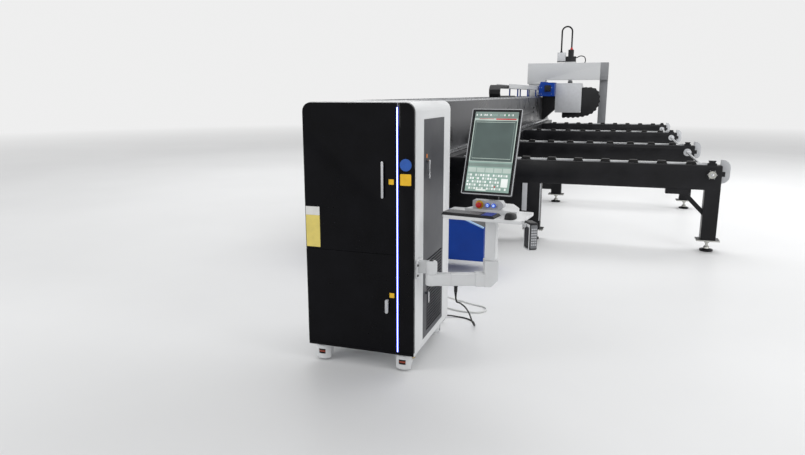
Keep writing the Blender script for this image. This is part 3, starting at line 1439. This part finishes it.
def loader_arm_shape():
    """One loading arm at station zero: beam, side panel, legs on pads, brace, chain track and end gear."""
    t = LOADER_THICKNESS
    left = BASE_RIGHT + GAP
    leg_right = LOADER_RIGHT - LEG_WIDTH
    beam = to_mesh(block("beam", (left, LOADER_RIGHT), (0, t), (LOADER_BOTTOM, LOADER_TOP), bevel=0.008,
        segments=1), "beam")
    panel = block("panel", (left, LEG_LEFT_X + 0.02), (0.004, 0.034),
        (LOADER_PANEL_BOTTOM, LOADER_BOTTOM + 0.02))
    pieces = [beam, panel]
    for x in (LEG_LEFT_X, leg_right):
        middle = x + LEG_WIDTH / 2
        half_plate = LEG_PLATE_WIDTH / 2
        pieces.append(block("leg", (x + 0.0005, x + LEG_WIDTH - 0.0005), (0.0006, t - 0.0006),
            (LEG_BOTTOM, LOADER_BOTTOM + 0.02)))
        pieces.append(
            block("plate", (middle - half_plate, middle + half_plate), (-0.02, t + 0.02),
            (LEG_BOTTOM - 0.010, LEG_BOTTOM + 0.002))
        )
        pieces.append(rod("stud", (middle, t / 2, 0.085), (0, 0, 1), FOOT_STUD_RADIUS, 0.120, sides=8))
        pieces.append(rod("nut", (middle, t / 2, LEG_BOTTOM - 0.022), (0, 0, 1), 0.028, 0.028, sides=6))
        pieces.append(
            to_mesh(
                turned("pad",
                [(0, FOOT_PAD_HEIGHT + 0.012), (0.026, FOOT_PAD_HEIGHT + 0.012),
                (0.032, FOOT_PAD_HEIGHT * 0.7),
                               (FOOT_PAD_RADIUS, FOOT_PAD_HEIGHT * 0.45), (FOOT_PAD_RADIUS, 0), (0, 0)],
                       (middle, t / 2, 0), sides=14),
                "pad",
            )
        )
    brace = prism(
        "brace",
        [[(leg_right + 0.01, BRACE_LOW - 0.045), (leg_right + 0.01, BRACE_LOW + 0.020),
        (BRACE_REACH + 0.045, LOADER_BOTTOM + 0.01),
          (BRACE_REACH - 0.02, LOADER_BOTTOM + 0.01)]],
        0.040,
        (0, t / 2 - 0.020, 0),
        "front",
    )
    shoe = block("shoe", (BRACE_REACH - 0.120, BRACE_REACH + 0.110), (0.012, t - 0.012),
        (LOADER_BOTTOM - 0.055, LOADER_BOTTOM + 0.01))
    pieces += [brace, shoe]
    track_start = left + 0.160
    track = block("track", (track_start, SHAFT_X - 0.050),
        (t / 2 - CHAIN_WIDTH / 2, t / 2 + CHAIN_WIDTH / 2),
                  (LOADER_TOP - 0.004, LOADER_TOP + CHAIN_RISE))
    pieces.append(track)
    pitch = (SHAFT_X - 0.060 - track_start) / CHAIN_PADS
    for k in range(CHAIN_PADS):
        x = track_start + (k + 0.5) * pitch
        top = LOADER_TOP + CHAIN_RISE + CHAIN_PAD_RISE
        outline = [(x - 0.055, LOADER_TOP + 0.002), (x + 0.055, LOADER_TOP + 0.002), (x + 0.040, top),
            (x - 0.040, top)]
        pieces.append(prism("pad", [outline], CHAIN_WIDTH + 0.016, (0, t / 2 - CHAIN_WIDTH / 2 - 0.008, 0),
            "front"))
    stop = prism(
        "stop",
        [[(SHAFT_X - 0.050, LOADER_TOP - 0.004), (SHAFT_X + 0.040, LOADER_TOP - 0.004),
        (SHAFT_X + 0.040, LOADER_TOP + 0.020),
          (SHAFT_X + 0.022, LOADER_TOP + 0.026), (SHAFT_X + 0.032, LOADER_TOP + 0.048),
          (SHAFT_X - 0.042, LOADER_TOP + 0.048),
          (SHAFT_X - 0.032, LOADER_TOP + 0.026), (SHAFT_X - 0.050, LOADER_TOP + 0.020)]],
        0.060,
        (0, 0.006, 0),
        "front",
    )
    lug = block("lug", (LOADER_RIGHT - 0.010, LOADER_RIGHT + 0.030), (0.020, 0.060),
        (SHAFT_Z - 0.020, SHAFT_Z + 0.030))
    boss = rod("boss", (SHAFT_X, -HUB_LENGTH / 2 + 0.002, SHAFT_Z), (0, 1, 0), HUB_RADIUS,
        HUB_LENGTH + 0.004, sides=18)
    half_plate = END_PLATE_HEIGHT / 2
    guard = prism(
        "guard",
        [rounded([(LOADER_RIGHT - 0.010, SHAFT_Z - half_plate + 0.02, 0),
        (LOADER_RIGHT + 0.090, SHAFT_Z - half_plate + 0.02, 0.080),
                  (LOADER_RIGHT + 0.090, SHAFT_Z + half_plate + 0.02, 0.080),
                  (LOADER_RIGHT - 0.010, SHAFT_Z + half_plate + 0.02, 0)], 4)],
        0.012,
        (0, t - 0.014, 0),
        "front",
    )
    arm = fuse("arm", pieces + [stop, lug, boss, guard])
    slot_half = SPROCKET_THICKNESS / 2 + 0.004
    slot_top = block("slot", (SHAFT_X - SPROCKET_RADIUS - 0.012, LOADER_RIGHT + 0.05),
        (t / 2 - slot_half, t / 2 + slot_half),
                     (SHAFT_Z - SPROCKET_RADIUS - 0.012, LOADER_TOP + 0.06))
    bore = rod("bore", (SHAFT_X, t / 2, SHAFT_Z), (0, 1, 0), SHAFT_RADIUS + SHAFT_PLAY, 2 * t, sides=16)
    return carve("arm", arm, [slot_top, bore])


def loader_arms(bed):
    """The same arm at each station."""
    shape = loader_arm_shape()
    data = shape.data
    bpy.data.objects.remove(shape, do_unlink=True)
    data.materials.clear()
    data.materials.append(black_paint())
    smooth(data)
    for number, station in enumerate(ARM_STATIONS, 1):
        arm = bpy.data.objects.new("loader_arm_" + str(number), data)
        arm.location = (0, station, 0)
        arm.parent = bed
        PARTS.objects.link(arm)


def loader_shaft(bed):
    """Common drive shaft with a toothed sprocket in the fork of each arm."""
    near = ARM_STATIONS[0] - HUB_LENGTH - 0.012
    far = ARM_STATIONS[-1] + LOADER_THICKNESS + 0.040
    pieces = [rod("shaft", (0, (near + far) / 2 - ARM_STATIONS[0], 0), (0, 1, 0), SHAFT_RADIUS, far - near,
        sides=16)]
    outline = []
    for k in range(SPROCKET_TEETH):
        for share, radius in ((0.0, SPROCKET_RADIUS), (0.30, SPROCKET_RADIUS),
            (0.45, SPROCKET_RADIUS - 0.012), (0.85, SPROCKET_RADIUS - 0.012)):
            angle = 2 * math.pi * (k + share) / SPROCKET_TEETH
            outline.append((radius * math.cos(angle), radius * math.sin(angle)))
    for station in ARM_STATIONS:
        y = station - ARM_STATIONS[0] + (LOADER_THICKNESS - SPROCKET_THICKNESS) / 2
        pieces.append(prism("sprocket", [outline], SPROCKET_THICKNESS, (0, y, 0), "front"))
    shaft = fuse("loader_shaft", pieces)
    shaft.location = (SHAFT_X, ARM_STATIONS[0], SHAFT_Z)
    keep(shaft, "loader_shaft", silver(), bed)


def chuck(name, spin_frame):
    """Chuck disc with its four jaws on the far face and a through bore, about the tube's axis."""
    far = CHUCK_THICKNESS
    disc = turned(
        "disc",
        [(CHUCK_BORE, far), (CHUCK_RADIUS - 0.012, far), (CHUCK_RADIUS, far - 0.012), (CHUCK_RADIUS, 0.012),
         (CHUCK_RADIUS - 0.012, 0), (CHUCK_BORE, 0), (CHUCK_BORE, far)],
        (0, 0, 0),
        (0, 1, 0),
        sides=28,
    )
    pieces = [to_mesh(disc, "disc")]
    for k in range(JAW_COUNT):
        turn = Matrix.Rotation(2 * math.pi * k / JAW_COUNT + math.pi / 4, 4, "Y")
        inner = CHUCK_BORE + 0.006
        jaw = prism(
            "jaw",
            [[(-JAW_WIDTH / 2, far - 0.004), (JAW_WIDTH / 2, far - 0.004),
            (JAW_WIDTH / 2, far + JAW_HEIGHT),
              (JAW_WIDTH / 2 - 0.008, far + JAW_HEIGHT + 0.004),
              (-JAW_WIDTH / 2 + 0.008, far + JAW_HEIGHT + 0.004),
              (-JAW_WIDTH / 2, far + JAW_HEIGHT)]],
            JAW_LENGTH,
            (0, 0, inner),
        )
        step = block("step", (-JAW_WIDTH / 2 + 0.010, JAW_WIDTH / 2 - 0.010),
            (far + JAW_HEIGHT * 0.6, far + JAW_HEIGHT),
                     (inner + JAW_LENGTH * 0.55, inner + JAW_LENGTH + 0.012))
        for item in (jaw, step):
            item.data.transform(turn @ Matrix.Translation(item.location))
            item.location = (0, 0, 0)
            pieces.append(item)
    keep(fuse(name, pieces), name, silver(), spin_frame)


def rear_carriage(bed):
    """Blue saddle that runs on the beam's edge rail, with its drive motor, beside the chuck housing."""
    low = BEAM_TOP + RAIL_HEIGHT + GAP
    near = CARRIAGE_NEAR
    far = near + CARRIAGE_LENGTH
    left = BEAM_RIGHT - 0.056
    right = CHUCK_BOX_LEFT - GAP
    top = CHUCK_BOX_TOP + 0.010
    saddle = prism(
        "saddle",
        [rounded([(left, low, 0), (BEAM_RIGHT + CARRIAGE_SIDE_PLAY, low, 0),
        (BEAM_RIGHT + CARRIAGE_SIDE_PLAY, CARRIAGE_SKIRT, 0),
                  (BEAM_RIGHT + CARRIAGE_SIDE_PLAY + 0.045, CARRIAGE_SKIRT, 0),
                  (right, CHUCK_BOX_BOTTOM + 0.08, 0),
                  (right, top, 0), (left + 0.05, top, 0), (left, top - 0.09, 0)])],
        far - near,
        (0, near, 0),
        "front",
    )
    motor = rod("motor", ((left + right) / 2 + 0.03, near - 0.055, top - 0.150), (0, 1, 0), 0.062, 0.120,
        sides=20)
    flange = block("flange", ((left + right) / 2 - 0.050, (left + right) / 2 + 0.110),
        (near - 0.012, near + 0.004),
                   (top - 0.230, top - 0.070))
    pieces = [saddle, motor, flange]
    for k in range(5):
        y = near + 0.06 + k * (CARRIAGE_LENGTH - 0.12) / 4
        pieces.append(block("rib", (left + 0.020, left + 0.17), (y - 0.006, y + 0.006),
            (top - 0.10, top + 0.018)))
    keep(fuse("rear_carriage", pieces), "rear_carriage", blue_paint(), bed)


def rear_chuck_group(bed):
    """White chuck housing with its rotating chuck and the ribbed black cable guard round its right side."""
    near = CHUCK_BOX_NEAR
    far = near + CHUCK_BOX_LENGTH
    box = prism(
        "rear_chuck_housing",
        [rounded([(CHUCK_BOX_LEFT, CHUCK_BOX_BOTTOM, 0.020), (CHUCK_BOX_RIGHT, CHUCK_BOX_BOTTOM, 0.070),
                  (CHUCK_BOX_RIGHT, CHUCK_BOX_TOP, 0.030), (CHUCK_BOX_LEFT, CHUCK_BOX_TOP, 0.030)], 5)],
        CHUCK_BOX_LENGTH,
        (0, near, 0),
        "front",
    )
    round_edges(box, 0.010, 2, 50)
    keep(box, "rear_chuck_housing", white_paint(), bed)
    spin = add_empty("rear_chuck_axis", (TUBE_X, far + GAP, TUBE_Z), bed)
    chuck("rear_chuck", spin)

    right = CHUCK_BOX_RIGHT + GAP
    floor = CHUCK_BOX_BOTTOM - GAP
    route = smooth_route([(x, 0, z) for x, z in GUARD_LINE], GUARD_RIB_PITCH / 4)
    middle = Vector((TUBE_X, 0, TUBE_Z))
    rim = []
    for k, point in enumerate(route):
        out = (point - middle).normalized() * (GUARD_RIB_DEPTH if k % 4 in (1, 2) else 0.0)
        rim.append(((point + out).x, (point + out).z))
    inside = [(GUARD_LINE[-1][0], floor), (right, floor), (right, GUARD_LINE[0][1])]
    guard = prism("cable_guard", [rim + inside], GUARD_DEPTH, (0, near + 0.05, 0), "front")
    keep(guard, "cable_guard", black_plastic(), bed)


def cable_tray(bed):
    """Grey tray for the cable chain, open at the top, on blue posts that stand on the beam."""
    wall = 0.006
    left, right = TRAY_DUCT_LEFT, TRAY_DUCT_RIGHT
    low, high = TRAY_DUCT_BOTTOM, TRAY_DUCT_TOP
    outline = [(left, low), (right, low), (right, high), (right - wall, high), (right - wall, low + wall),
               (left + wall, low + wall), (left + wall, high), (left, high)]
    pieces = [prism("tray", [outline], TRAY_DUCT_FAR - TRAY_DUCT_NEAR, (0, TRAY_DUCT_NEAR, 0), "front")]
    half = TRAY_POST_WIDTH / 2
    for y in TRAY_POSTS:
        for x in (left + 0.04, right - 0.04):
            pieces.append(block("post", (x - half / 2, x + half / 2), (y - half, y + half),
                (BEAM_TOP + GAP, low + 0.002)))
        pieces.append(block("foot", (left, right - 0.01), (y - 0.05, y + 0.05),
            (BEAM_TOP + GAP, BEAM_TOP + 0.010)))
    keep(fuse("cable_tray", pieces), "cable_tray", grey_paint(), bed)


def cable_chain(bed):
    """Black cable chain: it comes out of the tray's near end, bends down and runs back along the beam."""
    upper = TRAY_DUCT_BOTTOM + 0.006 + GAP + CHAIN_LINK_HEIGHT / 2
    lower = BEAM_TOP + GAP + CHAIN_LINK_HEIGHT / 2
    middle_z = (upper + lower) / 2
    radius = (upper - lower) / 2
    bend_y = TRAY_DUCT_NEAR - CHAIN_BEND_REACH + radius
    path = []
    upper_start = TRAY_DUCT_NEAR + 0.300
    straight = round((upper_start - bend_y) / CHAIN_LINK_PITCH)
    for k in range(straight + 1):
        path.append((upper_start - k * (upper_start - bend_y) / straight, upper, 0.0))
    turns = max(4, round(math.pi * radius / CHAIN_LINK_PITCH))
    for k in range(1, turns + 1):
        angle = math.pi * k / turns
        path.append((bend_y - radius * math.sin(angle), middle_z + radius * math.cos(angle), angle))
    lower_end = bend_y + CHAIN_LOWER_RUN
    straight = round(CHAIN_LOWER_RUN / CHAIN_LINK_PITCH)
    for k in range(1, straight + 1):
        path.append((bend_y + k * (lower_end - bend_y) / straight, lower, math.pi))
    outer, inner = [], []
    for k, (y, z, angle) in enumerate(path):
        half = CHAIN_LINK_HEIGHT / 2 - (0.006 if k % 2 else 0.0)
        away = (-math.sin(angle) * half, math.cos(angle) * half)
        outer.append((y + away[0], z + away[1]))
        inner.append((y - away[0], z - away[1]))
    width = CHAIN_LINK_WIDTH
    middle_x = (TRAY_DUCT_LEFT + TRAY_DUCT_RIGHT) / 2
    chain = prism("cable_chain", [outer + inner[::-1]], width, (middle_x - width / 2, 0, 0), "side")
    keep(chain, "cable_chain", black_plastic(), bed)


def portal_frame(bed):
    """Portal over the bed: cross beam with a dropped left end, short left foot and long right column."""
    near = PORTAL_NEAR
    far = near + PORTAL_DEPTH
    cross = to_mesh(
        prism("cross",
        [[(PORTAL_LEFT, PORTAL_LEFT_DROP), (PORTAL_LEFT + PORTAL_LEFT_WIDTH, PORTAL_LEFT_DROP),
                         (PORTAL_LEFT + PORTAL_LEFT_WIDTH, PORTAL_BOTTOM), (PORTAL_RIGHT, PORTAL_BOTTOM),
                         (PORTAL_RIGHT, PORTAL_TOP), (PORTAL_LEFT, PORTAL_TOP)]], PORTAL_DEPTH,
                         (0, near, 0), "front"),
        "cross",
    )
    foot = block("foot", (PORTAL_LEFT + 0.04, PORTAL_LEFT + PORTAL_LEFT_WIDTH - 0.06),
        (near + 0.03, far - 0.03),
                 (BEAM_TOP + RAIL_HEIGHT + 0.010, PORTAL_LEFT_DROP + 0.02))
    sole = block("sole", (PORTAL_LEFT + 0.010, PORTAL_LEFT + 0.010 + PORTAL_SOLE_WIDTH),
        (near + 0.004, far - 0.004),
                 (BEAM_TOP + GAP, BEAM_TOP + RAIL_HEIGHT + 0.020))
    column = block("column", (PORTAL_RIGHT - COLUMN_WIDTH, PORTAL_RIGHT - 0.0006),
        (near + 0.10, far - 0.06),
                   (0.010, PORTAL_BOTTOM + 0.02))
    plate = block("plate", (PORTAL_RIGHT - COLUMN_WIDTH - 0.05, PORTAL_RIGHT + 0.05),
        (near + 0.05, far - 0.01), (0.0, 0.016))
    pieces = [cross, foot, sole, column, plate]
    for z in head_rail_heights():
        pieces.append(block("rail", (PORTAL_LEFT + HEAD_RAIL_INSET, PORTAL_RIGHT - 0.05),
            (far - 0.002, far + HEAD_RAIL), (z - 0.015, z + 0.015)))
    keep(fuse("portal_frame", pieces), "portal_frame", grey_paint(), bed)


def head_rail_heights():
    return (PORTAL_BOTTOM + 0.090, PORTAL_TOP - 0.090)


def front_chuck_group(bed):
    """Front chuck: ring housing on a bracket from the beam's side, and the rotating chuck on its far face."""
    near = FRONT_CHUCK_NEAR
    far = near + FRONT_CHUCK_HOUSING_LENGTH
    half = FRONT_CHUCK_OUTER
    housing = prism(
        "housing",
        [box_outline(TUBE_X - half, TUBE_X + half, TUBE_Z - half, TUBE_Z + half, 0.09, 4)],
        FRONT_CHUCK_HOUSING_LENGTH,
        (0, near, 0),
        "front",
    )
    bracket = block("bracket", (BEAM_RIGHT + GAP, TUBE_X - half + 0.03), (near + 0.02, far - 0.02),
        (TUBE_Z - 0.28, TUBE_Z + 0.02))
    housing = fuse("housing", [housing, bracket])
    bore = rod("bore", (TUBE_X, (near + far) / 2, TUBE_Z), (0, 1, 0), CHUCK_BORE + 0.030,
        2 * FRONT_CHUCK_HOUSING_LENGTH, sides=28)
    keep(carve("front_chuck_housing", housing, [bore]), "front_chuck_housing", white_paint(), bed)
    spin = add_empty("front_chuck_axis", (TUBE_X, far + GAP, TUBE_Z), bed)
    chuck("front_chuck", spin)


def head_carriage(bed):
    """Cross carriage on the portal's far face with the lift motor and the fibre's junction box on top."""
    rail_face = PORTAL_NEAR + PORTAL_DEPTH + HEAD_RAIL + GAP
    half = HEAD_PLATE_WIDTH / 2
    plate_low = PORTAL_BOTTOM + 0.040
    plate_high = PORTAL_TOP + 0.050
    plate = to_mesh(
        block("plate", (HEAD_X - half, HEAD_X + half), (rail_face, rail_face + HEAD_PLATE_THICKNESS),
        (plate_low, plate_high),
              bevel=0.006, segments=1), "plate")
    y = rail_face + HEAD_PLATE_THICKNESS + SPINE_DEPTH / 2
    shelf = block("shelf", (HEAD_X - 0.355, HEAD_X + 0.140), (rail_face + 0.004, y + 0.075),
        (plate_high - 0.006, plate_high + 0.012))
    motor_foot = block("motor_foot", (HEAD_X - 0.130, HEAD_X + 0.135), (y - 0.075, y + 0.070),
        (plate_high + 0.010, plate_high + 0.140))
    motor = block("motor", (HEAD_X - 0.070, HEAD_X + 0.070), (y - 0.070, y + 0.065),
        (plate_high + 0.138, HEAD_MOTOR_TOP))
    box = block("box", (HEAD_X - 0.350, HEAD_X - 0.135), (y - 0.070, y + 0.050),
        (plate_high + 0.010, HEAD_BOX_TOP))
    carriage = fuse("head_carriage", [plate, shelf, motor_foot, motor, box])
    keep(carriage, "head_carriage", black_paint(), bed)

    left = HEAD_X - FIBRE_LEFT
    right = HEAD_X + FIBRE_RIGHT
    radius = (right - left) / 2
    middle = (left + right) / 2
    spring = FIBRE_TOP - FIBRE_RADIUS - radius
    points = [(left, y, HEAD_BOX_TOP + GAP)]
    steps = 8
    for k in range(1, steps):
        points.append((left, y, HEAD_BOX_TOP + (spring - HEAD_BOX_TOP) * k / steps))
    for k in range(13):
        angle = math.pi - math.pi * k / 12
        points.append((middle + radius * math.cos(angle), y, spring + radius * math.sin(angle)))
    for k in range(1, steps):
        points.append((right, y, spring + (HEAD_MOTOR_TOP - spring) * k / steps))
    points.append((right, y, HEAD_MOTOR_TOP + GAP))
    fibre = to_mesh(tube("fibre_cable", points, FIBRE_RADIUS), "fibre_cable")
    keep(fibre, "fibre_cable", black_plastic(), bed)

    start = HEAD_X + 0.135 + GAP
    side = y - SPINE_DEPTH / 2 - 0.022
    guides = [(start, y, plate_high + 0.110), (start + 0.02, y, plate_high + 0.110),
        (start + 0.12, y, plate_high + 0.150),
              (start + 0.22, y, plate_high + 0.120), (start + 0.25, y, plate_high + 0.020),
              (start + 0.20, y, plate_high - 0.070),
              (start + 0.10, side + 0.010, plate_high - 0.110),
              (HEAD_X + half + 0.025, side, plate_high - 0.120),
              (HEAD_X + half + GAP, side, plate_high - 0.120)]
    loop = to_mesh(tube("motor_cable", cord_route(guides, 0.040), 0.013), "motor_cable")
    keep(loop, "motor_cable", black_plastic(), bed)
    return rail_face + HEAD_PLATE_THICKNESS


def cutting_head(bed, back_face):
    """Lift slide with the cutting head: collimator body, focus body, sensor cone and nozzle."""
    near = back_face + GAP
    half = SPINE_WIDTH / 2
    y = back_face + SPINE_DEPTH / 2
    nozzle_tip = TUBE_Z + TUBE_CLEARANCE
    spine = block("spine", (HEAD_X - half, HEAD_X + half), (near, near + 0.035),
        (nozzle_tip + 0.36, PORTAL_TOP - 0.035))
    yoke = block("yoke", (HEAD_X - 0.050, HEAD_X + 0.050), (near + 0.030, near + HEAD_OFFSET),
        (nozzle_tip + 0.42, nozzle_tip + 0.50))
    centre = (HEAD_X, near + HEAD_OFFSET, 0)
    body = to_mesh(
        turned(
            "body",
            [(0, nozzle_tip + 0.62), (0.030, nozzle_tip + 0.62), (0.034, nozzle_tip + 0.56),
            (0.055, nozzle_tip + 0.54),
             (0.055, nozzle_tip + 0.30), (0.062, nozzle_tip + 0.29), (0.062, nozzle_tip + 0.16),
             (0.050, nozzle_tip + 0.14),
             (0.050, nozzle_tip + 0.08), (0.034, nozzle_tip + 0.06), (0.016, nozzle_tip + 0.022),
             (0.014, nozzle_tip + 0.014),
             (0.009, nozzle_tip + 0.012), (0.003, nozzle_tip), (0, nozzle_tip)],
            centre,
            sides=16,
        ),
        "body",
    )
    keep(fuse("cutting_head", [spine, yoke, body]), "cutting_head", silver(), bed)


def free_cords(cabinet):
    """Air hose looped on the floor behind the cabinet, and the cable that hangs from the arm."""
    hose = tube("air_hose", cord_route(HOSE_GUIDES, 0.038, HOSE_FLOOR), HOSE_RADIUS, 2)
    keep(hose, "air_hose", material("hose_white", (0.80, 0.81, 0.80), 0.45), cabinet)
    cable = tube("console_cable", cord_route(CABLE_GUIDES, 0.025, CABLE_FLOOR), CABLE_RADIUS, 2)
    keep(cable, "console_cable", black_plastic(), cabinet)


def main():
    clear_scene()
    left = BASE_LEFT
    right = LOADER_RIGHT + 0.090
    near = -PULL_STAND_OFF - PULL_THICKNESS
    far = BED_FAR
    machine = add_empty("machine", (-(left + right) / 2, -(near + far) / 2, 0), None)
    cabinet = add_empty("cabinet_frame", (0, 0, 0), machine)
    bed = add_empty("bed_frame", (0, 0, 0), machine)
    arm = add_empty("arm_pivot", (PIVOT_X, PIVOT_Y, 0), machine, (0, 0, math.radians(ARM_YAW)))
    console = add_empty("elbow_pivot", (ARM_REACH, 0, 0), arm, (0, 0, math.radians(CONSOLE_YAW - ARM_YAW)))
    head = add_empty("tilt_pivot", monitor_axis(), console, (math.radians(-MONITOR_TILT), 0, 0))

    cabinet_shell(cabinet)
    front_panels(cabinet)
    front_latches(cabinet)
    side_louvre_door(cabinet)
    casters(cabinet)
    cabinet_inside(cabinet)
    arm_bracket(cabinet)
    console_arm(arm)
    console_post(console)
    keyboard_tray(console)
    keyboard(console)
    mouse(console)
    monitor(head)
    monitor_neck(console)
    button_box(console)
    pendant(console)

    bed_base(bed)
    bed_beam(bed)
    gear_rack(bed)
    end_cover(bed)
    loader_arms(bed)
    loader_shaft(bed)
    rear_carriage(bed)
    rear_chuck_group(bed)
    cable_tray(bed)
    cable_chain(bed)
    portal_frame(bed)
    front_chuck_group(bed)
    back_face = head_carriage(bed)
    cutting_head(bed, back_face)
    free_cords(cabinet)


main()
